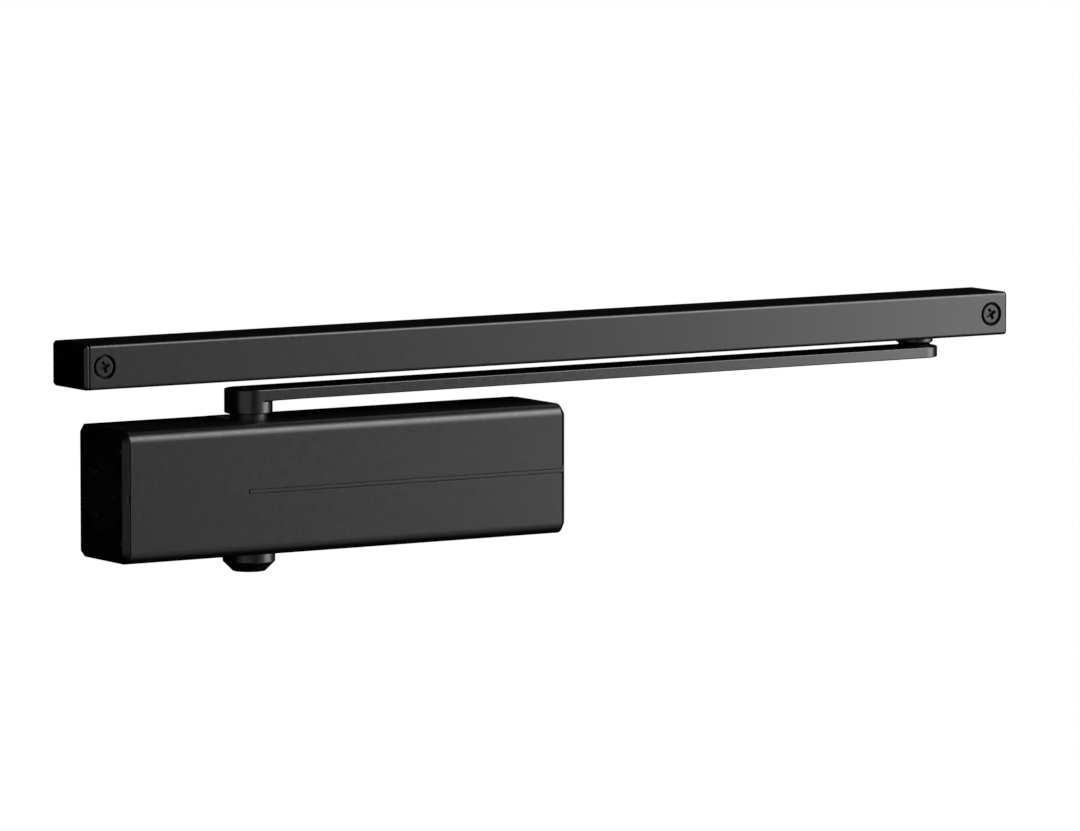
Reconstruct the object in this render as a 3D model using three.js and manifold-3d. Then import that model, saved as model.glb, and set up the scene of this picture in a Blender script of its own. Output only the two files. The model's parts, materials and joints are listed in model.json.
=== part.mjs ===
// A cam-action door closer with a guide rail: closer body, flat arm and slide rail.
// Millimetres, +Z up. The origin lies on the closer's mounting face, in line with the spindle, at
// the body's mid-height. +X runs along the rail to the spring end, +Y goes into the door.
import * as THREE from "three";
import { mergeVertices } from "three/addons/utils/BufferGeometryUtils.js";
import Module from "manifold-3d";

const wasm = await Module();
wasm.setup();

// ---- Closer body ----
const bodyLength = 235.4;
const bodyDepth = 44;
const bodyHeight = 60.6;
const spindleFromLeft = 77.1;
const spindleFromBack = 22;
const coverWall = 1.5;
const coverEdgeRadius = 6;
const coverBackGap = 0.6;
const grooveFromLeft = 64.5;
const grooveBandHeight = 2.3;
const grooveLine = 0.5;
const grooveDepth = 0.9;
const grooveBandDrop = 0.6;
const capThickness = 2.4;
const capBevel = 2.7;
const capBevelDepth = 2.3;
const capLineGap = 0.6;
const capBackRadius = 3.4;
const pryNotchHeight = 2.7;
const pryNotchDepth = 0.8;
const fitGap = 0.3;
const slipGap = 0.1;

// ---- Cylinder, end plugs and end-cap screws ----
const boreRadius = 17;
const plugFlangeStep = 1.5;
const plugLength = 12;
const plugSink = 0.3;
const pinHoleRadius = 2;
const pinHoleDepth = 1.8;
const pinCircleRadius = 11.3;
const sealWidth = 2.4;
const sealDepth = 1.9;
const capScrewHeadRadius = 2.5;
const capScrewRadius = 1.5;
const capScrewLength = 13;
const capScrewHead = 1.4;
const capScrewFromFront = 6.5;
const capScrewFromTop = 9.5;

// ---- Spindle, cam and bearings ----
const spindleRadius = 8;
const neckStep = 0.6;
const neckHeight = 2.8;
const neckSlotGap = 0.7;
const squareSize = 12;
const squareHeight = 7;
const camThickness = 10;
const camSteps = 72;
const camBoreGap = 1;
const rollerGap = 0.08;
const bearingWall = 4;
const sealHeight = 2.2;
const glandHeight = 2.6;
const capNubRadius = 7;
const capNubLength = 6;
const spindleCapRadius = 12.05;
const spindleCapStraight = 4.3;
const spindleCapChamfer = 4.5;
const spindleCapTipRadius = 7.5;

// ---- Pistons, rollers and springs ----
const rollerRadius = 5.5;
const rollerPinRadius = 2.5;
const rollerPinInset = 3;
const forkTipGap = 1.2;
const forkGap = 0.7;
const pistonHead = 15;
const pistonSpigot = 5;
const spigotGap = 1.5;
const checkValveRadius = 3;
const spindleTravel = THREE.MathUtils.degToRad(150);
const closingSpringBoreGap = 1.9;
const closingSpringWire = 2.5;
const closingSpringTurns = 8;
const dampingSpringBoreGap = 4.9;
const dampingSpringWire = 1.1;
const dampingSpringTurns = 4;
const springPlateThickness = 6;
const springPlateFromPlug = 12;
const adjusterRadius = 5;
const adjusterCollarRadius = 8;
const adjusterCollar = 2.5;
const adjusterTail = 10;
const adjusterSocket = 6;

// ---- Mounting screws and regulating valves ----
const mountScrewRadius = 2.5;
const mountScrewHeadRadius = 4.2;
const mountScrewHead = 4;
const mountScrewFromEnd = 23;
const mountRowFromTop = 8.3;
const valveRadius = 3;
const valveLength = 12;
const valvePitch = 11;
const valveFromSpindle = 20;

// ---- Arm, pin and slide block ----
const pivotReach = 372.4;
const pivotFromBack = 16.5;
const armThickness = 5.3;
const hubRadius = 11.1;
const hubHeight = 11.2;
const hubChamfer = 0.5;
const armEndRadius = 11;
const armScrewRadius = 4;
const armScrewHeadRadius = 7;
const armScrewHead = 3;
const armScrewLength = 16;
const pinRadius = 4;
const stemRadius = 8.9;
const stemWaist = 1.4;
const stemFlare = 0.8;
const collarHeight = 0.9;
const armToRail = 4.1;
const blockLength = 36;
const blockHeight = 11;
const pinDepth = 8;

// ---- Rail ----
const railLength = 506.4;
const railDepth = 30.8;
const railHeight = 20.7;
const railLeftOverhang = 90;
const railWall = 2;
const railEdgeRadius = 1.8;
const railSlotGap = 0.4;
const railCapFlange = 2.2;
const railCapThin = 0.6;
const railCapBlock = 16;
const railScrewFromLeft = 10.2;
const railScrewFromRight = 9;
const railScrewHeadRadius = 4.5;
const railScrewHead = 1.9;
const railScrewRadius = 2.5;
const railScrewHoleRadius = 5.7;
const recessArm = 0.75;
const recessReach = 2.6;
const recessDepth = 1.3;
const recessTurn = THREE.MathUtils.degToRad(20);

// ---- Facets ----
const fine = 36;
const medium = 24;
const coarse = 12;
const weld = 1e-4;

// ---- Levels and places worked out from the sizes above ----
const left = -spindleFromLeft;
const right = left + bodyLength;
const front = -bodyDepth;
const top = bodyHeight / 2;
const axisY = -spindleFromBack;
const coverLeft = left + capThickness + capLineGap;
const coverRight = right - capThickness - capLineGap;
const housingLeft = left + capThickness + slipGap;
const housingRight = right - capThickness - slipGap;
const housingFront = front + coverWall + fitGap;
const housingTop = top - coverWall - fitGap;
const plugRadius = boreRadius - slipGap;
const plugFlangeRadius = boreRadius + plugFlangeStep;
const neckRadius = spindleRadius + neckStep;
const closingSpringRadius = boreRadius - closingSpringBoreGap - closingSpringWire;
const dampingSpringRadius = boreRadius - dampingSpringBoreGap - dampingSpringWire;
const mountRow = top - mountRowFromTop;
const rollerHalf = camThickness / 2 + slipGap;
const forkHalf = camThickness / 2 + forkGap;
const camRate = (boreRadius - camBoreGap - spindleRadius) / Math.PI;
const closingRollerX = spindleRadius + rollerRadius;
const dampingRollerX = -(closingRollerX + camRate * Math.PI);
const pistonTravel = camRate * spindleTravel;
const closingFace = closingRollerX + rollerRadius + forkGap + pistonHead;
const dampingFace = dampingRollerX - rollerRadius - forkGap - pistonHead;
const bearingRadius = spindleRadius + bearingWall;
const springPlateX = housingRight - plugLength - springPlateFromPlug;
const hubBottom = top + neckHeight + slipGap;
const armTop = hubBottom + hubHeight;
const armBottom = armTop - armThickness;
const railBottom = armTop + armToRail;
const railTop = railBottom + railHeight;
const railLeft = -railLeftOverhang;
const railRight = railLeft + railLength;
const barLeft = railLeft + railCapFlange + capLineGap;
const barRight = railRight - railCapThin - slipGap;
const railMid = (railBottom + railTop) / 2;
const blockBottom = railBottom + railWall + fitGap;
const pivotY = -pivotFromBack;
const armTurn = Math.atan2(pivotY - axisY, pivotReach);
const armLength = Math.hypot(pivotReach, pivotY - axisY);

// ---- Finishes ----
function finish(color, roughness, metalness) {
  return new THREE.MeshStandardMaterial({ color, roughness, metalness });
}
const blackCoat = finish(0x2c2c2e, 0.42, 0.2);
const blackCast = finish(0x1c1c1e, 0.6, 0.4);
const blackPlastic = finish(0x1a1a1b, 0.55, 0);
const blackSteel = finish(0x202022, 0.35, 0.8);
const steel = finish(0xa5a7aa, 0.3, 1);
const brass = finish(0xb08d4a, 0.35, 1);
const rubber = finish(0x161616, 0.85, 0);

// ---- Solid making ----
function toSolid(geometry) {
  const bare = geometry.index ? geometry.toNonIndexed() : geometry.clone();
  bare.deleteAttribute("normal");
  bare.deleteAttribute("uv");
  const merged = mergeVertices(bare, weld);
  const mesh = new wasm.Mesh({
    numProp: 3,
    vertProperties: merged.attributes.position.array,
    triVerts: new Uint32Array(merged.index.array),
  });
  return new wasm.Manifold(mesh);
}

function toGeometry(solid) {
  const mesh = solid.getMesh();
  const points = new THREE.BufferAttribute(new Float32Array(mesh.vertProperties), 3);
  const indexed = new THREE.BufferGeometry().setAttribute("position", points);
  indexed.setIndex(new THREE.BufferAttribute(new Uint32Array(mesh.triVerts), 1));
  const geometry = indexed.toNonIndexed();
  geometry.computeVertexNormals();
  return geometry;
}

// Axis frames: an outline is drawn in the two axes that follow its extrusion axis in X, Y, Z order.
const unitX = new THREE.Vector3(1, 0, 0);
const unitY = new THREE.Vector3(0, 1, 0);
const unitZ = new THREE.Vector3(0, 0, 1);
const outlineFrames = {
  x: new THREE.Matrix4().makeBasis(unitY, unitZ, unitX),
  y: new THREE.Matrix4().makeBasis(unitZ, unitX, unitY),
  z: new THREE.Matrix4(),
};
const turnedFrames = {
  x: new THREE.Matrix4().makeBasis(unitZ, unitX, unitY),
  y: new THREE.Matrix4(),
  z: new THREE.Matrix4().makeBasis(unitY, unitZ, unitX),
};

function prism(axis, shape, from, to, curveSegments = 6) {
  const options = { depth: to - from, bevelEnabled: false, curveSegments };
  const geometry = new THREE.ExtrudeGeometry(shape, options);
  geometry.translate(0, 0, from);
  geometry.applyMatrix4(outlineFrames[axis]);
  return toSolid(geometry);
}

function box(low, high) {
  const geometry = new THREE.BoxGeometry(high[0] - low[0], high[1] - low[1], high[2] - low[2]);
  geometry.translate((low[0] + high[0]) / 2, (low[1] + high[1]) / 2, (low[2] + high[2]) / 2);
  return toSolid(geometry);
}

function polygon(radius, sides, turn = 0) {
  const points = [];
  for (let i = 0; i < sides; i += 1) {
    const angle = turn + (2 * Math.PI * i) / sides;
    points.push(new THREE.Vector2(radius * Math.cos(angle), radius * Math.sin(angle)));
  }
  return new THREE.Shape(points);
}

// A round bar along an axis; centre is the point that its axis passes through.
function rod(axis, radius, from, to, centre, sides = medium) {
  return prism(axis, polygon(radius, sides), from, to).translate(centre);
}

// A round hole whose flats, not its corners, lie at the radius, so a shaft turns freely in it.
function hole(axis, radius, from, to, centre, sides = medium) {
  return rod(axis, radius / Math.cos(Math.PI / sides), from, to, centre, sides);
}

// A solid of revolution; the profile lists [radius, height] upwards along its outer side.
function turned(axis, profile, centre, sides = medium) {
  const points = profile.map(([radius, height]) => new THREE.Vector2(radius, height));
  const geometry = new THREE.LatheGeometry(points, sides);
  geometry.applyMatrix4(turnedFrames[axis]);
  return toSolid(geometry).translate(centre);
}

function ring(axis, inner, outer, from, to, centre, sides = medium) {
  const bored = inner / Math.cos(Math.PI / sides);
  const profile = [[bored, from], [outer, from], [outer, to], [bored, to], [bored, from]];
  return turned(axis, profile, centre, sides);
}

// A rectangle with its own radius at each corner, in the order low-low, high-low, high-high, low-high.
function roundedRectangle(low, high, radii) {
  const [a, b, c, d] = radii;
  const shape = new THREE.Shape();
  shape.moveTo(low[0] + a, low[1]);
  shape.lineTo(high[0] - b, low[1]);
  shape.absarc(high[0] - b, low[1] + b, b, -Math.PI / 2, 0);
  shape.lineTo(high[0], high[1] - c);
  shape.absarc(high[0] - c, high[1] - c, c, 0, Math.PI / 2);
  shape.lineTo(low[0] + d, high[1]);
  shape.absarc(low[0] + d, high[1] - d, d, Math.PI / 2, Math.PI);
  shape.lineTo(low[0], low[1] + a);
  shape.absarc(low[0] + a, low[1] + a, a, Math.PI, 1.5 * Math.PI);
  return shape;
}

function helix(radius, wire, from, to, turns, centre) {
  const path = new THREE.Curve();
  path.getPoint = (t, target = new THREE.Vector3()) => {
    const angle = 2 * Math.PI * turns * t;
    const along = from + wire + (to - from - 2 * wire) * t;
    return target.set(along, radius * Math.cos(angle), radius * Math.sin(angle));
  };
  const stepsPerTurn = 10;
  const options = { steps: turns * stepsPerTurn, extrudePath: path, bevelEnabled: false };
  return toSolid(new THREE.ExtrudeGeometry(polygon(wire, 6), options)).translate(centre);
}

// ---- Closer body ----
const boreCentre = [0, axisY, 0];
const spindleCentre = [0, axisY, 0];
const mountPlaces = [
  ["mounting_screw_left_upper", left + mountScrewFromEnd, mountRow],
  ["mounting_screw_left_lower", left + mountScrewFromEnd, -mountRow],
  ["mounting_screw_right_upper", right - mountScrewFromEnd, mountRow],
  ["mounting_screw_right_lower", right - mountScrewFromEnd, -mountRow],
];
const valvePlaces = [
  ["backcheck_valve", -valveFromSpindle],
  ["latching_speed_valve", -valveFromSpindle - valvePitch],
  ["closing_speed_valve", -valveFromSpindle - 2 * valvePitch],
];
const capScrewY = front + capScrewFromFront;
const capScrewZ = top - capScrewFromTop;
const mountSeat = housingFront + mountScrewHead + fitGap;

// A tongue fills the open back of each slot in the cover.
function closerHousing() {
  const edge = Math.max(coverEdgeRadius - coverWall - fitGap, slipGap);
  const section = roundedRectangle([housingFront, -housingTop], [0, housingTop], [edge, 1, 1, edge]);
  const half = neckRadius + neckSlotGap - fitGap;
  const tongueFront = axisY + boreRadius + fitGap;
  const upperTongue = box([-half, tongueFront, housingTop - 1], [half, 0, top]);
  const lowerTongue = box([-half, tongueFront, -top], [half, 0, 1 - housingTop]);
  const cuts = [
    hole("x", boreRadius, housingLeft - 1, housingRight + 1, boreCentre, fine),
    hole("z", boreRadius, 0, housingTop + 1, spindleCentre, fine),
    hole("z", bearingRadius + slipGap, -housingTop - 1, 0, spindleCentre),
  ];
  for (const [, x, z] of mountPlaces) {
    cuts.push(hole("y", mountScrewRadius + fitGap, front, 1, [x, 0, z], coarse));
    cuts.push(hole("y", mountScrewHeadRadius + fitGap, front, mountSeat, [x, 0, z], coarse));
  }
  for (const [, x] of valvePlaces) {
    const bottom = housingFront + valveLength + 2 * fitGap;
    cuts.push(hole("y", valveRadius + slipGap, front, bottom, [x, 0, -mountRow], coarse));
  }
  for (const z of [capScrewZ, -capScrewZ]) {
    const depth = capScrewLength + fitGap;
    const centre = [0, capScrewY, z];
    cuts.push(hole("x", capScrewRadius + slipGap, left, left + depth, centre, coarse));
    cuts.push(hole("x", capScrewRadius + slipGap, right - depth, right, centre, coarse));
  }
  const block = prism("x", section, housingLeft, housingRight).add(upperTongue).add(lowerTongue);
  return wasm.Manifold.difference([block, ...cuts]);
}

function coverSection() {
  const back = -coverBackGap;
  const inner = Math.max(coverEdgeRadius - coverWall, slipGap);
  const inside = front + coverWall;
  const shape = new THREE.Shape();
  shape.moveTo(back, -top);
  shape.lineTo(back, -top + coverWall);
  shape.lineTo(inside + inner, -top + coverWall);
  shape.absarc(inside + inner, -top + coverWall + inner, inner, 1.5 * Math.PI, Math.PI, true);
  shape.lineTo(inside, top - coverWall - inner);
  shape.absarc(inside + inner, top - coverWall - inner, inner, Math.PI, Math.PI / 2, true);
  shape.lineTo(back, top - coverWall);
  shape.lineTo(back, top);
  shape.lineTo(front + coverEdgeRadius, top);
  shape.absarc(front + coverEdgeRadius, top - coverEdgeRadius, coverEdgeRadius, Math.PI / 2, Math.PI);
  shape.lineTo(front, -top + coverEdgeRadius);
  shape.absarc(front + coverEdgeRadius, -top + coverEdgeRadius, coverEdgeRadius, Math.PI, 1.5 * Math.PI);
  return shape;
}

// The cover slides on from the front, so each flange has a slot that is open to the back.
function frontCover() {
  const half = neckRadius + neckSlotGap;
  const grooveLeft = left + grooveFromLeft;
  const low = -grooveBandDrop - grooveBandHeight / 2;
  const high = low + grooveBandHeight;
  const floor = front + grooveDepth;
  const cuts = [
    hole("z", half, -top - 1, top + 1, spindleCentre),
    box([-half, axisY, -top - 1], [half, 1, top + 1]),
    box([grooveLeft, front - 1, low], [right, floor, low + grooveLine]),
    box([grooveLeft, front - 1, high - grooveLine], [right, floor, high]),
    box([grooveLeft, front - 1, low], [grooveLeft + grooveLine, floor, high]),
  ];
  return wasm.Manifold.difference([prism("x", coverSection(), coverLeft, coverRight), ...cuts]);
}

// A cap is made for the left end; the right one is its mirror image about the body's middle.
function endCap() {
  const radii = [coverEdgeRadius, capBackRadius, capBackRadius, coverEdgeRadius];
  const outline = roundedRectangle([front, -top], [0, top], radii);
  const bevel = {
    depth: capThickness,
    bevelEnabled: true,
    bevelThickness: capBevelDepth,
    bevelSize: capBevel,
    bevelOffset: -capBevel,
    bevelSegments: 1,
    curveSegments: 6,
  };
  const geometry = new THREE.ExtrudeGeometry(outline, bevel);
  geometry.translate(0, 0, left + capBevelDepth);
  geometry.applyMatrix4(outlineFrames.x);
  const inner = left + capThickness;
  const keep = box([left - 1, front - 1, -top - 1], [inner, 1, top + 1]);
  const notchFloor = front + pryNotchDepth;
  const halfNotch = pryNotchHeight / 2;
  const cuts = [
    hole("x", plugFlangeRadius + fitGap, left - 1, inner + 1, boreCentre, fine),
    box([inner - pryNotchDepth, front - 1, -halfNotch], [inner + 1, notchFloor, halfNotch]),
  ];
  for (const z of [capScrewZ, -capScrewZ]) {
    const seat = left + capScrewHead + slipGap;
    cuts.push(hole("x", capScrewRadius + slipGap, left - 1, inner + 1, [0, capScrewY, z], coarse));
    cuts.push(hole("x", capScrewHeadRadius + slipGap, left - 1, seat, [0, capScrewY, z], coarse));
  }
  return wasm.Manifold.difference([toSolid(geometry).intersect(keep), ...cuts]);
}

function capScrew(z) {
  const profile = [
    [0, left + capScrewLength],
    [capScrewRadius, left + capScrewLength],
    [capScrewRadius, left + capScrewHead],
    [capScrewHeadRadius, left + capScrewHead],
    [capScrewHeadRadius, left],
    [0, left],
  ];
  const screw = turned("x", profile.reverse(), [0, capScrewY, z], coarse);
  const socket = prism("x", polygon(capScrewRadius, 6), left - 1, left + capScrewHead / 2);
  return screw.subtract(socket.translate([0, capScrewY, z]));
}

function toRightEnd(solid) {
  return solid.mirror([1, 0, 0]).translate([left + right, 0, 0]);
}

// The plug screws into the bore; a seal ring lies in the groove near its inner end.
function endPlug() {
  const outer = left + plugSink;
  const seat = housingLeft - slipGap;
  const inner = housingLeft + plugLength;
  const groove = inner - 2 * sealWidth;
  const profile = [
    [0, outer],
    [plugFlangeRadius, outer],
    [plugFlangeRadius, seat],
    [plugRadius, seat],
    [plugRadius, groove],
    [plugRadius - sealDepth, groove],
    [plugRadius - sealDepth, groove + sealWidth],
    [plugRadius, groove + sealWidth],
    [plugRadius, inner],
    [0, inner],
  ];
  const holes = [0, 1, 2].map((i) => {
    const angle = Math.PI + (2 * Math.PI * i) / 3;
    const y = axisY + pinCircleRadius * Math.cos(angle);
    const z = pinCircleRadius * Math.sin(angle);
    return rod("x", pinHoleRadius, outer - 1, outer + pinHoleDepth, [0, y, z], coarse);
  });
  return wasm.Manifold.difference([turned("x", profile, boreCentre, fine), ...holes]);
}

function plugSeal() {
  const from = housingLeft + plugLength - 2 * sealWidth + slipGap;
  const to = from + sealWidth - 2 * slipGap;
  return ring("x", plugRadius - sealDepth + slipGap, plugRadius, from, to, boreCentre, medium);
}

function springEndPlug() {
  const through = hole("x", adjusterRadius + slipGap, springPlateX, right + 1, boreCentre);
  return toRightEnd(endPlug()).subtract(through);
}

// ---- Bearings: the upper one sits in a nut as wide as the bore, so the cam can be put in ----
const bearingLow = boreRadius + fitGap;
const glandLow = housingTop - glandHeight;
const sealLow = glandLow - sealHeight - slipGap;

function upperBearingNut() {
  const inner = bearingRadius + slipGap;
  return ring("z", inner, boreRadius - slipGap, bearingLow, housingTop, spindleCentre, fine);
}

function bearing() {
  return ring("z", spindleRadius + slipGap, bearingRadius, bearingLow, sealLow - slipGap, spindleCentre);
}

function spindleSeal() {
  return ring("z", spindleRadius + slipGap, bearingRadius, sealLow, glandLow - slipGap, spindleCentre);
}

function glandRing() {
  return ring("z", spindleRadius + fitGap, bearingRadius, glandLow, housingTop, spindleCentre);
}

function toLowerSide(solid) {
  return solid.mirror([0, 0, 1]);
}

// ---- Spindle with its heart cam ----
// The roller centre follows r = first + rate * |angle|, so each roller moves in proportion to the
// spindle's turn. The cam edge along a ray is the nearest edge of any roller that crosses it.
function camRadius(ray) {
  const keepOut = rollerRadius + rollerGap;
  let nearest = Infinity;
  for (let i = -camSteps * 2; i <= camSteps * 2; i += 1) {
    const angle = (Math.PI * i) / (camSteps * 2);
    const reach = closingRollerX + camRate * Math.abs(angle);
    const along = reach * Math.cos(angle - ray);
    const aside = reach * Math.sin(angle - ray);
    if (along > 0 && Math.abs(aside) < keepOut) {
      nearest = Math.min(nearest, along - Math.sqrt(keepOut ** 2 - aside ** 2));
    }
  }
  return nearest;
}

function camShape() {
  const points = [];
  for (let i = 0; i < camSteps; i += 1) {
    const ray = (2 * Math.PI * i) / camSteps;
    const radius = camRadius(ray > Math.PI ? ray - 2 * Math.PI : ray);
    points.push(new THREE.Vector2(radius * Math.cos(ray), radius * Math.sin(ray)));
  }
  return new THREE.Shape(points);
}

function camSpindle() {
  const neckTop = top + neckHeight;
  const neckLow = housingTop + fitGap;
  const profile = [
    [0, -top - capNubLength],
    [capNubRadius, -top - capNubLength],
    [capNubRadius, -housingTop],
    [spindleRadius, -housingTop],
    [spindleRadius, neckLow],
    [neckRadius, neckLow],
    [neckRadius, neckTop],
    [0, neckTop],
  ];
  const shaft = turned("z", profile, [0, 0, 0]);
  const half = camThickness / 2;
  const cam = prism("z", camShape(), -half, half);
  const side = squareSize / 2;
  const square = box([-side, -side, neckTop - 1], [side, side, neckTop + squareHeight]);
  const tapped = hole("z", armScrewRadius + slipGap, neckTop - armScrewLength, armTop, [0, 0, 0], coarse);
  return shaft.add(cam).add(square).subtract(tapped).translate(spindleCentre);
}

function spindleCap() {
  const high = -top - fitGap;
  const low = high - spindleCapStraight - spindleCapChamfer;
  const socketTop = -top - capNubLength - slipGap;
  const socket = (capNubRadius + slipGap) / Math.cos(Math.PI / medium);
  const profile = [
    [0, low],
    [spindleCapTipRadius, low],
    [spindleCapRadius, high - spindleCapStraight],
    [spindleCapRadius, high],
    [socket, high],
    [socket, socketTop],
    [0, socketTop],
  ];
  return turned("z", profile, spindleCentre);
}

// ---- Pistons: side is +1 towards the spring end and -1 towards the damping end ----
function piston(side, rollerX, tip, pocket, face, seatRadius) {
  const spigot = face + side * pistonSpigot;
  const [low, high] = [tip, face].sort((a, b) => a - b);
  const [spigotLow, spigotHigh] = [face - side, spigot].sort((a, b) => a - b);
  const [slotLow, slotHigh] = [tip - side, pocket].sort((a, b) => a - b);
  const body = rod("x", plugRadius, low, high, boreCentre, fine);
  const seat = rod("x", seatRadius, spigotLow, spigotHigh, boreCentre);
  const slot = box([slotLow, axisY - boreRadius, -forkHalf], [slotHigh, axisY + boreRadius, forkHalf]);
  const pinHole = hole("z", rollerPinRadius + slipGap, -boreRadius, boreRadius, [rollerX, axisY, 0], coarse);
  return body.add(seat).subtract(slot).subtract(pinHole);
}

function closingPiston() {
  const pocket = closingRollerX + rollerRadius + forkGap;
  const tip = spindleRadius + forkTipGap;
  const seat = closingSpringRadius - closingSpringWire - spigotGap;
  const body = piston(1, closingRollerX, tip, pocket, closingFace, seat);
  const end = closingFace + pistonSpigot + 1;
  return body.subtract(hole("x", checkValveRadius + slipGap, pocket - 1, end, boreCentre, coarse));
}

function dampingPiston() {
  const pocket = dampingRollerX - rollerRadius - forkGap;
  const tip = -(spindleRadius + forkTipGap + pistonTravel);
  const seat = dampingSpringRadius - dampingSpringWire - spigotGap;
  return piston(-1, dampingRollerX, tip, pocket, dampingFace, seat);
}

function checkValve() {
  const end = closingFace + pistonSpigot;
  return ring("x", checkValveRadius / 3, checkValveRadius, end - pistonSpigot * 2, end, boreCentre, coarse);
}

function rollerPin(x) {
  const half = Math.sqrt(boreRadius ** 2 - rollerPinRadius ** 2) - rollerPinInset;
  return rod("z", rollerPinRadius, -half, half, [x, axisY, 0], coarse);
}

function roller(x) {
  return ring("z", rollerPinRadius + slipGap, rollerRadius, -rollerHalf, rollerHalf, [x, axisY, 0], 24);
}

function closingSpring() {
  const from = closingFace + slipGap;
  const to = springPlateX - slipGap;
  return helix(closingSpringRadius, closingSpringWire, from, to, closingSpringTurns, boreCentre);
}

function dampingSpring() {
  const from = housingLeft + plugLength + slipGap;
  const to = dampingFace - slipGap;
  return helix(dampingSpringRadius, dampingSpringWire, from, to, dampingSpringTurns, boreCentre);
}

function springPlate() {
  const outer = plugRadius - fitGap;
  const to = springPlateX + springPlateThickness;
  return ring("x", adjusterRadius + slipGap, outer, springPlateX, to, boreCentre);
}

function adjusterScrew() {
  const outer = right - 2 * plugSink;
  const inner = housingRight - plugLength - slipGap;
  const profile = [
    [0, springPlateX - adjusterTail],
    [adjusterRadius, springPlateX - adjusterTail],
    [adjusterRadius, inner - adjusterCollar],
    [adjusterCollarRadius, inner - adjusterCollar],
    [adjusterCollarRadius, inner],
    [adjusterRadius, inner],
    [adjusterRadius, outer],
    [0, outer],
  ];
  const socket = prism("x", polygon(adjusterSocket / 2, 6), outer - adjusterSocket, outer + 1);
  return turned("x", profile, boreCentre, medium).subtract(socket.translate(boreCentre));
}

// ---- Screws and valves behind the cover ----
function mountingScrew(x, z) {
  const head = mountSeat - mountScrewHead;
  const profile = [
    [0, head],
    [mountScrewHeadRadius, head],
    [mountScrewHeadRadius, mountSeat - slipGap],
    [mountScrewRadius, mountSeat - slipGap],
    [mountScrewRadius, -fitGap],
    [0, -fitGap],
  ];
  const socket = prism("y", polygon(mountScrewRadius, 6), head - 1, head + mountScrewHead / 2);
  return turned("y", profile, [x, 0, z], coarse).subtract(socket.translate([x, 0, z]));
}

function regulatingValve(x) {
  const head = housingFront + fitGap;
  const tip = head + valveLength;
  const profile = [
    [0, head],
    [valveRadius, head],
    [valveRadius, tip - valveRadius],
    [valveRadius / 3, tip],
    [0, tip],
  ];
  const socket = prism("y", polygon(valveRadius / 2, 6), head - 1, head + valveRadius);
  return turned("y", profile, [x, 0, -mountRow], coarse).subtract(socket.translate([x, 0, -mountRow]));
}

// ---- Arm: drawn along +X from the spindle axis, then turned to the pivot ----
function armOutline() {
  const tangent = Math.acos((hubRadius - armEndRadius) / armLength);
  const shape = new THREE.Shape();
  shape.absarc(0, 0, hubRadius, tangent, 2 * Math.PI - tangent);
  shape.absarc(armLength, 0, armEndRadius, -tangent, tangent);
  return shape;
}

function slideArm() {
  const plate = prism("z", armOutline(), armBottom, armTop, 14);
  const hubProfile = [
    [0, hubBottom],
    [hubRadius - hubChamfer, hubBottom],
    [hubRadius, hubBottom + hubChamfer],
    [hubRadius, armTop - 1],
    [0, armTop - 1],
  ];
  const hub = turned("z", hubProfile, [0, 0, 0]);
  const side = squareSize / 2 + slipGap;
  const squareTop = top + neckHeight + squareHeight + slipGap;
  const headSeat = armTop - armScrewHead - slipGap;
  const cuts = [
    box([-side, -side, hubBottom - 1], [side, side, squareTop]),
    hole("z", armScrewRadius + slipGap, hubBottom, armTop, [0, 0, 0], coarse),
    hole("z", armScrewHeadRadius + slipGap, headSeat, armTop + 1, [0, 0, 0]),
    hole("z", pinRadius + slipGap, armBottom - 1, armTop + 1, [armLength, 0, 0]),
  ];
  return wasm.Manifold.difference([plate.add(hub), ...cuts]);
}

function armScrew() {
  const seat = armTop - armScrewHead;
  const end = top + neckHeight - armScrewLength + fitGap;
  const profile = [
    [0, end],
    [armScrewRadius, end],
    [armScrewRadius, seat],
    [armScrewHeadRadius, seat],
    [armScrewHeadRadius, armTop - slipGap],
    [0, armTop - slipGap],
  ];
  const socket = prism("z", polygon(armScrewRadius * 0.8, 6), seat + slipGap, armTop + 1);
  return turned("z", profile, [0, 0, 0], 24).subtract(socket);
}

// The pin is fixed in the arm; its collar is the lower half of the waisted stem under the rail.
function sliderPin() {
  const collarLow = armTop + slipGap;
  const collarHigh = collarLow + collarHeight;
  const profile = [
    [0, armBottom],
    [pinRadius, armBottom],
    [pinRadius, collarLow],
    [stemRadius, collarLow],
    [stemRadius - stemWaist, collarHigh],
    [pinRadius, collarHigh],
    [pinRadius, blockBottom + pinDepth],
    [0, blockBottom + pinDepth],
  ];
  return turned("z", profile, [armLength, 0, 0]);
}

// ---- Slide block in the rail's channel, with the upper half of the stem as its boss ----
const channelFront = -railDepth + railWall;
const channelBack = -railWall;
const pivotCentre = [pivotReach, pivotY, 0];

function slideBlock() {
  const low = [pivotReach - blockLength / 2, channelFront + fitGap];
  const high = [pivotReach + blockLength / 2, channelBack - fitGap];
  const outline = roundedRectangle(low, high, [3, 3, 3, 3]);
  const plate = prism("z", outline, blockBottom, blockBottom + blockHeight, 4);
  const bossLow = armTop + slipGap + collarHeight + fitGap;
  const bossProfile = [
    [0, bossLow],
    [stemRadius - stemWaist, bossLow],
    [stemRadius, bossLow + stemFlare],
    [stemRadius, blockBottom + 1],
    [0, blockBottom + 1],
  ];
  const boss = turned("z", bossProfile, pivotCentre);
  const socket = hole("z", pinRadius + slipGap, bossLow - 1, blockBottom + pinDepth + fitGap, pivotCentre);
  return plate.add(boss).subtract(socket);
}

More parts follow.
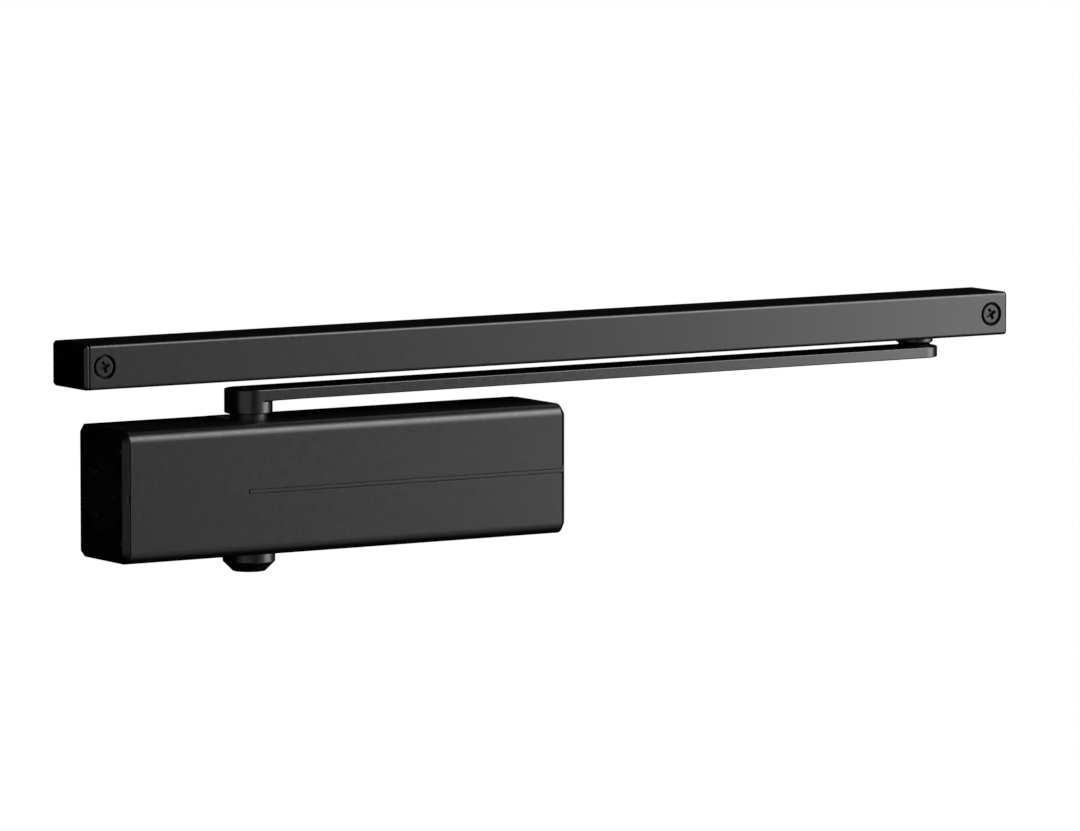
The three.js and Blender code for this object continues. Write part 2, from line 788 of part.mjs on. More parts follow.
// ---- Rail: a box section with a slot along its underside ----
function railSection() {
  const half = stemRadius + railSlotGap;
  const innerTop = railTop - railWall;
  const innerLow = railBottom + railWall;
  const edge = railEdgeRadius;
  const shape = new THREE.Shape();
  shape.moveTo(pivotY - half, railBottom);
  shape.lineTo(pivotY - half, innerLow);
  shape.lineTo(channelFront, innerLow);
  shape.lineTo(channelFront, innerTop);
  shape.lineTo(channelBack, innerTop);
  shape.lineTo(channelBack, innerLow);
  shape.lineTo(pivotY + half, innerLow);
  shape.lineTo(pivotY + half, railBottom);
  shape.lineTo(-edge, railBottom);
  shape.absarc(-edge, railBottom + edge, edge, -Math.PI / 2, 0);
  shape.lineTo(0, railTop - edge);
  shape.absarc(-edge, railTop - edge, edge, 0, Math.PI / 2);
  shape.lineTo(-railDepth + edge, railTop);
  shape.absarc(-railDepth + edge, railTop - edge, edge, Math.PI / 2, Math.PI);
  shape.lineTo(-railDepth, railBottom + edge);
  shape.absarc(-railDepth + edge, railBottom + edge, edge, Math.PI, 1.5 * Math.PI);
  return shape;
}
const railScrewLeftX = railLeft + railScrewFromLeft;
const railScrewRightX = railRight - railScrewFromRight;

function guideRail() {
  const cuts = [];
  for (const x of [railScrewLeftX, railScrewRightX]) {
    cuts.push(hole("y", railScrewHoleRadius, -railDepth - 1, channelFront + 1, [x, 0, railMid]));
    cuts.push(hole("y", railScrewRadius + fitGap, channelBack - 1, 1, [x, 0, railMid], coarse));
  }
  const bar = prism("x", railSection(), barLeft, barRight, 3);
  return wasm.Manifold.difference([bar, ...cuts]);
}

// The block of an end cap fills the channel and is held by the rail screw that goes through it.
function railCapInsert(from, to, screwX) {
  const low = [channelFront + fitGap, blockBottom];
  const high = [channelBack - fitGap, railTop - railWall - fitGap];
  const insert = prism("x", roundedRectangle(low, high, [1, 1, 1, 1]), from, to, 2);
  const through = hole("y", railScrewRadius + slipGap, -railDepth, 0, [screwX, 0, railMid], coarse);
  return insert.subtract(through);
}

function railCapPlate(from, to) {
  const edge = railEdgeRadius;
  const outline = roundedRectangle([-railDepth, railBottom], [0, railTop], [edge, edge, edge, edge]);
  return prism("x", outline, from, to, 3);
}

function railCapLeft() {
  const inner = railLeft + railCapFlange;
  const insert = railCapInsert(inner - 1, barLeft + railCapBlock, railScrewLeftX);
  return railCapPlate(railLeft, inner).add(insert);
}

function railCapRight() {
  const inner = railRight - railCapThin;
  const insert = railCapInsert(barRight - railCapBlock, inner + railCapThin / 2, railScrewRightX);
  return railCapPlate(inner, railRight).add(insert);
}

function railScrew(x) {
  const seat = channelFront + fitGap - slipGap;
  const head = seat - railScrewHead;
  const profile = [
    [0, head],
    [railScrewHeadRadius - recessArm, head],
    [railScrewHeadRadius, head + recessArm],
    [railScrewHeadRadius, seat],
    [railScrewRadius, seat],
    [railScrewRadius, -fitGap],
    [0, -fitGap],
  ];
  const screw = turned("y", profile, [0, 0, 0], 24);
  const floor = head + recessDepth;
  const barOne = box([-recessReach, head - 1, -recessArm], [recessReach, floor, recessArm]);
  const barTwo = box([-recessArm, head - 1, -recessReach], [recessArm, floor, recessReach]);
  const cross = barOne.add(barTwo).rotate([0, THREE.MathUtils.radToDeg(recessTurn), 0]);
  return screw.subtract(cross).translate([x, 0, railMid]);
}

// ---- Assembly ----
function addPart(group, name, solid, material) {
  const mesh = new THREE.Mesh(toGeometry(solid), material.clone());
  mesh.name = name;
  group.add(mesh);
}

function closerBody() {
  const group = new THREE.Group();
  addPart(group, "closer_housing", closerHousing(), blackCast);
  addPart(group, "front_cover", frontCover(), blackCoat);
  addPart(group, "end_cap_left", endCap(), blackCast);
  addPart(group, "end_cap_right", toRightEnd(endCap()), blackCast);
  for (const [place, z] of [["upper", capScrewZ], ["lower", -capScrewZ]]) {
    addPart(group, `end_cap_screw_left_${place}`, capScrew(z), blackSteel);
    addPart(group, `end_cap_screw_right_${place}`, toRightEnd(capScrew(z)), blackSteel);
  }
  addPart(group, "end_plug_left", endPlug(), blackSteel);
  addPart(group, "end_plug_right", springEndPlug(), blackSteel);
  addPart(group, "plug_seal_left", plugSeal(), rubber);
  addPart(group, "plug_seal_right", toRightEnd(plugSeal()), rubber);
  addPart(group, "upper_bearing_nut", upperBearingNut(), steel);
  addPart(group, "upper_bearing", bearing(), brass);
  addPart(group, "lower_bearing", toLowerSide(bearing()), brass);
  addPart(group, "upper_spindle_seal", spindleSeal(), rubber);
  addPart(group, "lower_spindle_seal", toLowerSide(spindleSeal()), rubber);
  addPart(group, "upper_gland_ring", glandRing(), steel);
  addPart(group, "lower_gland_ring", toLowerSide(glandRing()), steel);
  for (const [name, x, z] of mountPlaces) {
    addPart(group, name, mountingScrew(x, z), steel);
  }
  for (const [name, x] of valvePlaces) {
    addPart(group, name, regulatingValve(x), brass);
  }
  addPart(group, "closing_spring", closingSpring(), steel);
  addPart(group, "damping_spring", dampingSpring(), steel);
  addPart(group, "spring_plate", springPlate(), steel);
  addPart(group, "spring_adjuster_screw", adjusterScrew(), steel);
  return group;
}

function pistons() {
  const group = new THREE.Group();
  addPart(group, "closing_piston", closingPiston(), steel);
  addPart(group, "piston_check_valve", checkValve(), brass);
  addPart(group, "closing_roller_pin", rollerPin(closingRollerX), steel);
  addPart(group, "closing_roller", roller(closingRollerX), steel);
  addPart(group, "damping_piston", dampingPiston(), steel);
  addPart(group, "damping_roller_pin", rollerPin(dampingRollerX), steel);
  addPart(group, "damping_roller", roller(dampingRollerX), steel);
  return group;
}

function armAssembly() {
  const group = new THREE.Group();
  group.position.set(0, axisY, 0);
  group.rotation.z = armTurn;
  addPart(group, "slide_arm", slideArm(), blackCoat);
  addPart(group, "arm_screw", armScrew(), blackSteel);
  addPart(group, "slider_pin", sliderPin(), blackSteel);
  return group;
}

function spindleAssembly() {
  const group = new THREE.Group();
  addPart(group, "cam_spindle", camSpindle(), blackSteel);
  addPart(group, "spindle_cap", spindleCap(), blackPlastic);
  return group;
}

function railAssembly() {
  const group = new THREE.Group();
  addPart(group, "slide_block", slideBlock(), blackPlastic);
  addPart(group, "guide_rail", guideRail(), blackCoat);
  addPart(group, "rail_end_cap_left", railCapLeft(), blackPlastic);
  addPart(group, "rail_end_cap_right", railCapRight(), blackPlastic);
  addPart(group, "rail_screw_left", railScrew(railScrewLeftX), blackSteel);
  addPart(group, "rail_screw_right", railScrew(railScrewRightX), blackSteel);
  return group;
}

const group = new THREE.Group();
group.add(closerBody(), pistons(), spindleAssembly(), armAssembly(), railAssembly());

export default group;
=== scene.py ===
"""Looks of a cam-action door closer with a guide rail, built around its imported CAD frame.

Metres, in the frame of the CAD: +X along the rail, +Y into the door, +Z up. Sizes that the frame
doesn't give are named here in millimetres and turned to metres by MM.
"""

import json
import math

import bmesh
import bpy
from mathutils import Matrix, Vector


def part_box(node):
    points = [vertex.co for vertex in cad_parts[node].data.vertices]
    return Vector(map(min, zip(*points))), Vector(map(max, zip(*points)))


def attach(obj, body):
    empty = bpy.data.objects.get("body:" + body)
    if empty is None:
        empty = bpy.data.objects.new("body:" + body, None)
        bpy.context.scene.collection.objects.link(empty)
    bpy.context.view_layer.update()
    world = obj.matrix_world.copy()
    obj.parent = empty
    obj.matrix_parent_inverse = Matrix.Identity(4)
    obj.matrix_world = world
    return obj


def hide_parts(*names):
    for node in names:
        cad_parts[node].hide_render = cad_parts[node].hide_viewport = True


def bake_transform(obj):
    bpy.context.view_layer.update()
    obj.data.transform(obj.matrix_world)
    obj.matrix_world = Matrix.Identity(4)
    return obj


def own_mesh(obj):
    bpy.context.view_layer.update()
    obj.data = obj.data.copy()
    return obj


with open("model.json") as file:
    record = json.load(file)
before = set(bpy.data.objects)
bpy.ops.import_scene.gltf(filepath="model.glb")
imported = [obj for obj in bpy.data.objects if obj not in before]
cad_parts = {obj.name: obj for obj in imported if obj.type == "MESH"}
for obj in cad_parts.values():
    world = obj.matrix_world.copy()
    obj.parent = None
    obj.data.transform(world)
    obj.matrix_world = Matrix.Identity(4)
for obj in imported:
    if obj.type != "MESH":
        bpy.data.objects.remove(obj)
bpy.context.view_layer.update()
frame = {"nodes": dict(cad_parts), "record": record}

MM = 0.001

# ---- Camera: place in metres, lens and sensor in millimetres ----
CAMERA_PLACE = (-1.9612, -3.3987, 0.4407)
CAMERA_AZIMUTH = math.radians(32.101)
CAMERA_DROP = math.radians(5.982)
CAMERA_LENS = 286.6
CAMERA_SENSOR = 36

# ---- Facets: sides of a round part, or steps of an arc ----
ROUND = 96
INNER_ROUND = 64
SMALL_ROUND = 48
TINY_ROUND = 24
HEXAGON = 6
ARC = 16
SMALL_ARC = 8
TINY_ARC = 6
CAM_STEPS = 240
COIL_STEPS = 40
WIRE_SIDES = 14

# ---- Broken edges, gaps, and how far a cutting tool reaches past a skin ----
EDGE = 0.25 * MM
FINE_EDGE = 0.12 * MM
CAP_EDGE = 0.04 * MM
RAIL_EDGE = 0.2 * MM
PIN_EDGE = 0.2 * MM
BLOCK_EDGE = 0.3 * MM
SPINDLE_CAP_EDGE = 0.35 * MM
ARM_EDGE = 0.6 * MM
END_BREAK = 0.5 * MM
EDGE_SEGMENTS = 3
EDGE_ANGLE = 30  # Degrees
NODE_EDGE_SEGMENTS = 2
NODE_EDGE_ANGLE = 35  # Degrees
SLIP = 0.1 * MM
GAP = 0.3 * MM
BEYOND = 1 * MM

# ---- Front cover ----
COVER_WALL = 1.5 * MM
COVER_RADIUS = 6 * MM
SLOT_GAP = 0.7 * MM
SLOT_CUT = 3 * MM
GROOVE_FROM_LEFT = 64.5 * MM
GROOVE_BAND = 2.3 * MM
GROOVE_LINE = 0.5 * MM
GROOVE_DEPTH = 0.9 * MM
GROOVE_DROP = 0.6 * MM

# ---- End caps and their screws; shares are of the screw head's radius ----
CAP_BACK_RADIUS = 3.4 * MM
CAP_BEVEL = 2.7 * MM
CAP_BEVEL_DEPTH = 2.3 * MM
NOTCH_HEIGHT = 2.7 * MM
NOTCH_DEPTH = 0.8 * MM
CAP_SCREW_HEAD = 1.4 * MM
CAP_SCREW_ROUND = 0.35 * MM
CAP_SCREW_TOP_SHARE = 0.86
CAP_SCREW_SHANK_SHARE = 0.6
CAP_SCREW_HOLE_SHARE = 0.62
CAP_SOCKET_DEPTH = 1.2 * MM
CAP_SOCKET_TO_SHANK = 1.02
CAP_TIP_TO_SHANK = 0.6

# ---- End plugs ----
PLUG_CHAMFER = 0.8 * MM
PIN_HOLES = 3
PIN_HOLE_RADIUS = 2 * MM
PIN_HOLE_DEPTH = 1.8 * MM
PIN_CIRCLE_RADIUS = 11.3 * MM
SEAL_DEPTH = 1.9 * MM
SEAL_BORE = 15.1 * MM
ADJUSTER_BORE = 5.1 * MM
ADJUSTER_RUN_OUT = 2 * MM

# ---- Spindle, its cam and its cap ----
NECK_RADIUS = 8.6 * MM
SPINDLE_RADIUS = 8 * MM
BUSH_BORE = SPINDLE_RADIUS + SLIP
NUT_BORE = 12.1 * MM
NUB_RADIUS = 7 * MM
NUB_TIP_RADIUS = 6.4 * MM
NUB_CHAMFER = 0.6 * MM
NUB_HOLE_RADIUS = 7.1 * MM
SQUARE_HALF = 6 * MM
SQUARE_HOLE_HALF = 6.1 * MM
CAP_STRAIGHT = 4.3 * MM
CAP_CHAMFER = 4.55 * MM
ROLLER_RADIUS = 5.5 * MM
ROLLER_GAP = 0.08 * MM
ROLLER_BORE = 2.6 * MM
CAM_HALF = 5 * MM
CHECK_VALVE_BORE = 1 * MM

# ---- Arm, its screw, and the stem under the rail ----
ARM_THICKNESS = 5.3 * MM
SCREW_WELL_RADIUS = 7.2 * MM
SCREW_WELL_DEPTH = 3.1 * MM
ARM_SCREW_HEAD = 2.9 * MM
ARM_SCREW_TIP = 1 * MM
ARM_SCREW_TIP_SHARE = 0.8
ARM_SOCKET_RADIUS = 3.2 * MM
SHANK_RADIUS = 4 * MM
SHANK_HOLE_RADIUS = 4.1 * MM
PIN_CHAMFER = 0.4 * MM
STEM_WAIST = 1.4 * MM
STEM_FLARE = 0.8 * MM
COLLAR_HEIGHT = 0.9 * MM

# ---- Guide rail, its caps and screws, and the slide block ----
RAIL_WALL = 2 * MM
RAIL_RADIUS = 1.8 * MM
RAIL_RECESS_RADIUS = 5.7 * MM
RAIL_HOLE_RADIUS = 2.8 * MM
LEFT_FLANGE = 2.2 * MM
LEFT_FLANGE_BREAK = 1.2 * MM
RIGHT_FLANGE = 0.6 * MM
RIGHT_FLANGE_BREAK = 0.35 * MM
INSERT_RADIUS = 1 * MM
INSERT_HOLE_RADIUS = 2.6 * MM
RAIL_SCREW_HEAD = 1.9 * MM
RAIL_SCREW_SHANK = 2.5 * MM
RAIL_SCREW_ROUND = 0.5 * MM
RAIL_ROUND_IN_SHARE = 0.4
RAIL_ROUND_DOWN_SHARE = 0.15
RAIL_SCREW_TIP = 0.6 * MM
RAIL_SCREW_TURNS = {"left": math.radians(20), "right": math.radians(25)}
RECESS_DEPTH = 1.7 * MM
RECESS_MOUTH_REACH = 3.1 * MM
RECESS_MOUTH_HALF = 1 * MM
RECESS_FLOOR_REACH = 2.3 * MM
RECESS_FLOOR_HALF = 0.66 * MM
RECESS_TAPER = 0.8
STEM_GAP = 0.4 * MM
BLOCK_RADIUS = 3 * MM

# ---- Springs ----
CLOSING_WIRE = 2.5 * MM
CLOSING_TURNS = 8
DAMPING_WIRE = 1.1 * MM
DAMPING_TURNS = 4


# ---- Outlines: lists of (first, second) pairs across an axis ----
def arc(centre, radius, start, end, steps=ARC):
    """Points of a circular arc from start to end, in degrees."""
    points = []
    for i in range(steps + 1):
        angle = math.radians(start + (end - start) * i / steps)
        across = centre[0] + radius * math.cos(angle)
        points.append((across, centre[1] + radius * math.sin(angle)))
    return points


def circle(radius, sides=ROUND, centre=(0.0, 0.0)):
    return arc(centre, radius, 0, 360 * (sides - 1) / sides, sides - 1)


def rounded(low, high, radii, steps=ARC):
    """A rectangle with a radius at each corner: low-low, high-low, high-high, low-high."""
    a, b, c, d = radii
    return (
        arc((low[0] + a, low[1] + a), a, 180, 270, steps)
        + arc((high[0] - b, low[1] + b), b, 270, 360, steps)
        + arc((high[0] - c, high[1] - c), c, 0, 90, steps)
        + arc((low[0] + d, high[1] - d), d, 90, 180, steps)
    )


def inset(low, high, amount):
    return (low[0] + amount, low[1] + amount), (high[0] - amount, high[1] - amount)


# ---- Closed meshes ----
ACROSS = {"x": (1, 2, 0), "y": (0, 2, 1), "z": (0, 1, 2)}


def place(axis, pair, along):
    point = [0.0, 0.0, 0.0]
    first, second, third = ACROSS[axis]
    point[first], point[second], point[third] = pair[0], pair[1], along
    return Vector(point)


def wall(bm, low, high, closed=True):
    """Faces between two rows of vertices."""
    count = len(low)
    for i in range(count if closed else count - 1):
        j = (i + 1) % count
        bm.faces.new((low[i], low[j], high[j], high[i]))


def loft(rings, wrap=False):
    """Joins rings of equal length into one closed skin; wrap joins the last ring to the first."""
    bm = bmesh.new()
    rows = [[bm.verts.new(point) for point in ring] for ring in rings]
    for low, high in zip(rows, rows[1:]):
        wall(bm, low, high)
    if wrap:
        wall(bm, rows[-1], rows[0])
    else:
        bm.faces.new(rows[0][::-1])
        bm.faces.new(rows[-1])
    bmesh.ops.recalc_face_normals(bm, faces=bm.faces)
    return bm


def prism(axis, outline, low, high):
    return loft([[place(axis, pair, along) for pair in outline] for along in (low, high)])


def turned(axis, centre, profile, sides=ROUND, wrap=False):
    """A solid of revolution from (radius, height) pairs; wrap makes it a ring."""
    across = [centre[i] for i in ACROSS[axis][:2]]
    rings = []
    for radius, height in profile:
        ring = circle(radius, sides, across)
        rings.append([place(axis, pair, height) for pair in ring])
    return loft(rings, wrap)


def rod(axis, centre, radius, low, high, sides=ROUND):
    return turned(axis, centre, [(radius, low), (radius, high)], sides)


def block(low, high):
    corners = [(low[0], low[1]), (high[0], low[1]), (high[0], high[1]), (low[0], high[1])]
    return prism("z", corners, low[2], high[2])


def to_object(name, bm):
    mesh = bpy.data.meshes.new(name)
    bm.to_mesh(mesh)
    bm.free()
    obj = bpy.data.objects.new(name, mesh)
    bpy.context.scene.collection.objects.link(obj)
    return obj


def combine(obj, tools, operation):
    """Cuts the tools out of obj, or joins them to it, and keeps the result as its mesh."""
    helpers = []
    for tool in tools:
        helper = to_object("tool", tool)
        modifier = obj.modifiers.new("combine", "BOOLEAN")
        modifier.operation = operation
        modifier.solver = "EXACT"
        modifier.object = helper
        helpers.append(helper)
    graph = bpy.context.evaluated_depsgraph_get()
    mesh = bpy.data.meshes.new_from_object(obj.evaluated_get(graph))
    obj.modifiers.clear()
    obj.data = mesh
    for helper in helpers:
        bpy.data.objects.remove(helper)


def break_edges(obj, width, segments, angle, clamp):
    """Rounds the edges that are sharper than angle, in degrees."""
    bevel = obj.modifiers.new("edges", "BEVEL")
    bevel.width = width
    bevel.segments = segments
    bevel.limit_method = "ANGLE"
    bevel.angle_limit = math.radians(angle)
    bevel.use_clamp_overlap = clamp


slot_of = {entry["node"]: entry["material_slot"] for entry in frame["record"]["subparts"]}


def piece(name, bm, material, body, node, joins=(), cuts=(), edge=EDGE):
    """A part that stands for one CAD node, which it hides; body is None where the part is attached to
    no body.
    """
    obj = to_object(name, bm)
    if joins:
        combine(obj, joins, "UNION")
    if cuts:
        combine(obj, cuts, "DIFFERENCE")
    obj.data.shade_smooth()
    obj.data.materials.clear()
    obj.data.materials.append(material)
    if edge:
        break_edges(obj, edge, EDGE_SEGMENTS, EDGE_ANGLE, clamp=False)
    obj.modifiers.new("normals", "WEIGHTED_NORMAL")
    if body:
        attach(obj, body)
    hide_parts(node)
    return obj


# ---- Materials ----
NOISE_LOW = 0.3  # The span of a noise's values that is used
NOISE_HIGH = 0.7
COLOUR_GRAIN = 0.4  # Shares of a material's grain
GLOSS_GRAIN = 0.15
COLOUR_DETAIL = 6
GLOSS_DETAIL = 4
RELIEF_DETAIL = 3
RELIEF_DISTANCE = 0.05 * MM
WEAR_START = 0.52  # Pointiness at which an edge starts to wear, and is worn most
WEAR_FULL = 0.62
WORN_GAIN = 3
COOL_TINT = 1.02


def finish(name, dark, light, roughness, spread, metallic=0.0, grain=900, bump=0.1,
           stretch=(1, 1, 1), wear=0.0):
    """A surface whose colour, gloss and fine relief all vary with procedural noise."""
    material = bpy.data.materials.new(name)
    material.use_nodes = True
    nodes = material.node_tree.nodes
    links = material.node_tree.links
    nodes.clear()
    output = nodes.new("ShaderNodeOutputMaterial")
    shader = nodes.new("ShaderNodeBsdfPrincipled")
    shader.inputs["Metallic"].default_value = metallic
    links.new(shader.outputs["BSDF"], output.inputs["Surface"])
    coords = nodes.new("ShaderNodeTexCoord")
    mapping = nodes.new("ShaderNodeMapping")
    mapping.inputs["Scale"].default_value = stretch
    links.new(coords.outputs["Object"], mapping.inputs["Vector"])

    def noise(scale, detail):
        texture = nodes.new("ShaderNodeTexNoise")
        texture.inputs["Scale"].default_value = scale
        texture.inputs["Detail"].default_value = detail
        links.new(mapping.outputs["Vector"], texture.inputs["Vector"])
        return texture.outputs["Fac"]

    def remap(source, start, end, low, high):
        node = nodes.new("ShaderNodeMapRange")
        node.inputs["From Min"].default_value = start
        node.inputs["From Max"].default_value = end
        node.inputs["To Min"].default_value = low
        node.inputs["To Max"].default_value = high
        links.new(source, node.inputs["Value"])
        return node.outputs["Result"]

    ramp = nodes.new("ShaderNodeValToRGB")
    first, last = ramp.color_ramp.elements
    first.position, first.color = NOISE_LOW, (*dark, 1)
    last.position, last.color = NOISE_HIGH, (*light, 1)
    links.new(noise(grain * COLOUR_GRAIN, COLOUR_DETAIL), ramp.inputs["Fac"])
    colour = ramp.outputs["Color"]
    if wear:
        geometry = nodes.new("ShaderNodeNewGeometry")
        edges = remap(geometry.outputs["Pointiness"], WEAR_START, WEAR_FULL, 0, wear)
        worn = nodes.new("ShaderNodeMix")
        worn.data_type = "RGBA"
        worn.inputs["B"].default_value = (*[min(1.0, WORN_GAIN * v) for v in light], 1)
        links.new(edges, worn.inputs["Factor"])
        links.new(colour, worn.inputs["A"])
        colour = worn.outputs["Result"]
    links.new(colour, shader.inputs["Base Color"])
    gloss = remap(noise(grain * GLOSS_GRAIN, GLOSS_DETAIL), NOISE_LOW, NOISE_HIGH,
                  roughness - spread, roughness + spread)
    links.new(gloss, shader.inputs["Roughness"])
    relief = nodes.new("ShaderNodeBump")
    relief.inputs["Strength"].default_value = bump
    relief.inputs["Distance"].default_value = RELIEF_DISTANCE
    links.new(noise(grain, RELIEF_DETAIL), relief.inputs["Height"])
    links.new(relief.outputs["Normal"], shader.inputs["Normal"])
    return material


def grey(value):
    """A grey that leans a little to blue."""
    return (value, value, value * COOL_TINT)


coat_black = finish("satin_black_coat", grey(0.0014), grey(0.002), 0.34, 0.03, grain=2600,
                    bump=0.1, wear=0.2)
arm_black = finish("glossy_black_coat", grey(0.0013), grey(0.0019), 0.28, 0.03, grain=2600,
                   bump=0.06, wear=0.2)
cast_black = finish("cast_black_coat", grey(0.0014), grey(0.0022), 0.4, 0.05, grain=1500,
                    bump=0.25, wear=0.2)
plastic_black = finish("moulded_black_plastic", grey(0.0014), grey(0.0022), 0.36, 0.05,
                       grain=1800, bump=0.2)
steel_black = finish("blackened_steel", grey(0.01), grey(0.016), 0.36, 0.05, metallic=0.4,
                     grain=1200, bump=0.1, wear=0.3)
steel = finish("machined_steel", (0.45, 0.45, 0.46), (0.6, 0.6, 0.61), 0.3, 0.06, metallic=1,
               grain=1100, bump=0.15, stretch=(1, 1, 9))
spring_steel = finish("oiled_spring_steel", (0.2, 0.2, 0.21), (0.33, 0.32, 0.31), 0.32, 0.05,
                      metallic=1, grain=800, bump=0.1)
brass = finish("turned_brass", (0.6, 0.42, 0.16), (0.75, 0.56, 0.26), 0.3, 0.05, metallic=1,
               grain=1000, bump=0.12, stretch=(1, 1, 8))
rubber = finish("seal_rubber", grey(0.012), grey(0.02), 0.75, 0.05, grain=1400, bump=0.3)
SLOT_MATERIALS = {
    "black_coat": coat_black,
    "black_cast": cast_black,
    "black_plastic": plastic_black,
    "black_steel": steel_black,
    "steel": steel,
    "spring_steel": spring_steel,
    "brass": brass,
    "rubber": rubber,
}


def material_of(node):
    return SLOT_MATERIALS[slot_of[node]]


# ---- Places from the frame ----
def centre_of(node):
    low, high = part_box(node)
    return (Vector(low) + Vector(high)) / 2


def radius_of(node, axis):
    """The radius of a node that is round about axis."""
    low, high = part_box(node)
    across = ACROSS[axis][0]
    return (high[across] - low[across]) / 2


spindle = centre_of("upper_bearing")
bore = Vector((0, spindle.y, 0))
pivot = centre_of("slider_pin")
arm_length = (pivot.xy - spindle.xy).length
stem_radius = radius_of("slider_pin", "z")
cap_low, cap_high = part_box("end_cap_left")
cover_low, cover_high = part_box("front_cover")
rail_low, rail_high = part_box("guide_rail")
channel_front = rail_low[1] + RAIL_WALL
body_left = cap_low[0]
body_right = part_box("end_cap_right")[1][0]


def on_side(bm, side):
    """A left part's skin as it is, or mirrored to the body's right end."""
    if side == "right":
        shift = Matrix.Translation((body_left + body_right, 0, 0))
        mirror = shift @ Matrix.Scale(-1, 4, (1, 0, 0))
        bmesh.ops.transform(bm, matrix=mirror, verts=bm.verts)
        bmesh.ops.recalc_face_normals(bm, faces=bm.faces)
    return bm


# ---- Closer body ----
def front_cover():
    low, high = cover_low, cover_high
    inside = low[1] + COVER_WALL
    radius, inner = COVER_RADIUS, COVER_RADIUS - COVER_WALL
    outer_front = low[1] + radius
    outline = (
        arc((outer_front, low[2] + radius), radius, 270, 180)
        + arc((outer_front, high[2] - radius), radius, 180, 90)
        + [(high[1], high[2]), (high[1], high[2] - COVER_WALL)]
        + arc((inside + inner, high[2] - COVER_WALL - inner), inner, 90, 180)
        + arc((inside + inner, low[2] + COVER_WALL + inner), inner, 180, 270)
        + [(high[1], low[2] + COVER_WALL), (high[1], low[2])]
    )
    half = NECK_RADIUS + SLOT_GAP
    back = high[1] + BEYOND
    slot_outline = arc(spindle.xy, half, 180, 360) + [(half, back), (-half, back)]
    left = body_left + GROOVE_FROM_LEFT
    right = high[0] + BEYOND
    band_low = -GROOVE_DROP - GROOVE_BAND / 2
    band_high = band_low + GROOVE_BAND
    out, floor = low[1] - BEYOND, low[1] + GROOVE_DEPTH
    cuts = [
        prism("z", slot_outline, high[2] - SLOT_CUT, high[2] + BEYOND),
        prism("z", slot_outline, low[2] - BEYOND, low[2] + SLOT_CUT),
        block((left, out, band_low), (right, floor, band_low + GROOVE_LINE)),
        block((left, out, band_high - GROOVE_LINE), (right, floor, band_high)),
        block((left, out, band_low + FINE_EDGE),
              (left + GROOVE_LINE, floor, band_high - FINE_EDGE)),
    ]
    return piece("front_cover_shell", prism("x", outline, low[0], high[0]), coat_black,
                 "closer_body", "front_cover", cuts=cuts, edge=FINE_EDGE)


def end_cap(side):
    low, high = (cap_low[1], cap_low[2]), (cap_high[1], cap_high[2])
    radii = (COVER_RADIUS, CAP_BACK_RADIUS, CAP_BACK_RADIUS, COVER_RADIUS)
    inner_radii = [radius - CAP_BEVEL for radius in radii]
    full = rounded(low, high, radii)
    small = rounded(*inset(low, high, CAP_BEVEL), inner_radii)
    rings = [(small, cap_low[0]), (full, cap_low[0] + CAP_BEVEL_DEPTH), (full, cap_high[0])]
    plate = loft([[place("x", pair, along) for pair in outline] for outline, along in rings])
    start, end = cap_low[0] - BEYOND, cap_high[0] + BEYOND
    notch = NOTCH_HEIGHT / 2
    cuts = [
        rod("x", bore, radius_of("end_plug_left", "x") + GAP, start, end),
        block((cap_high[0] - NOTCH_DEPTH, low[0] - BEYOND, -notch),
              (end, low[0] + NOTCH_DEPTH, notch)),
    ]
    for level in ("upper", "lower"):
        screw = f"end_cap_screw_left_{level}"
        centre = centre_of(screw)
        radius = radius_of(screw, "x") + GAP
        seat = cap_low[0] + CAP_SCREW_HEAD + SLIP
        cuts.append(rod("x", centre, radius, start, seat, SMALL_ROUND))
        cuts.append(rod("x", centre, radius * CAP_SCREW_HOLE_SHARE, start, end, TINY_ROUND))
    cuts = [on_side(cut, side) for cut in cuts]
    return piece(f"end_cap_plate_{side}", on_side(plate, side), cast_black, "closer_body",
                 f"end_cap_{side}", cuts=cuts, edge=CAP_EDGE)


def end_cap_screw(side, level):
    node = f"end_cap_screw_{side}_{level}"
    left_node = f"end_cap_screw_left_{level}"
    low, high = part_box(left_node)
    centre = centre_of(left_node)
    radius = radius_of(left_node, "x")
    shank = radius * CAP_SCREW_SHANK_SHARE
    head = low[0] + CAP_SCREW_HEAD
    profile = [
        (radius * CAP_SCREW_TOP_SHARE, low[0]), (radius, low[0] + CAP_SCREW_ROUND),
        (radius, head), (shank, head),
        (shank, high[0] - END_BREAK), (shank * CAP_TIP_TO_SHANK, high[0]),
    ]
    across = shank * CAP_SOCKET_TO_SHANK
    socket = rod("x", centre, across, low[0] - BEYOND, low[0] + CAP_SOCKET_DEPTH, HEXAGON)
    screw = turned("x", centre, profile, SMALL_ROUND)
    return piece(node + "_turned", on_side(screw, side), steel_black, "closer_body", node,
                 cuts=[on_side(socket, side)], edge=FINE_EDGE)


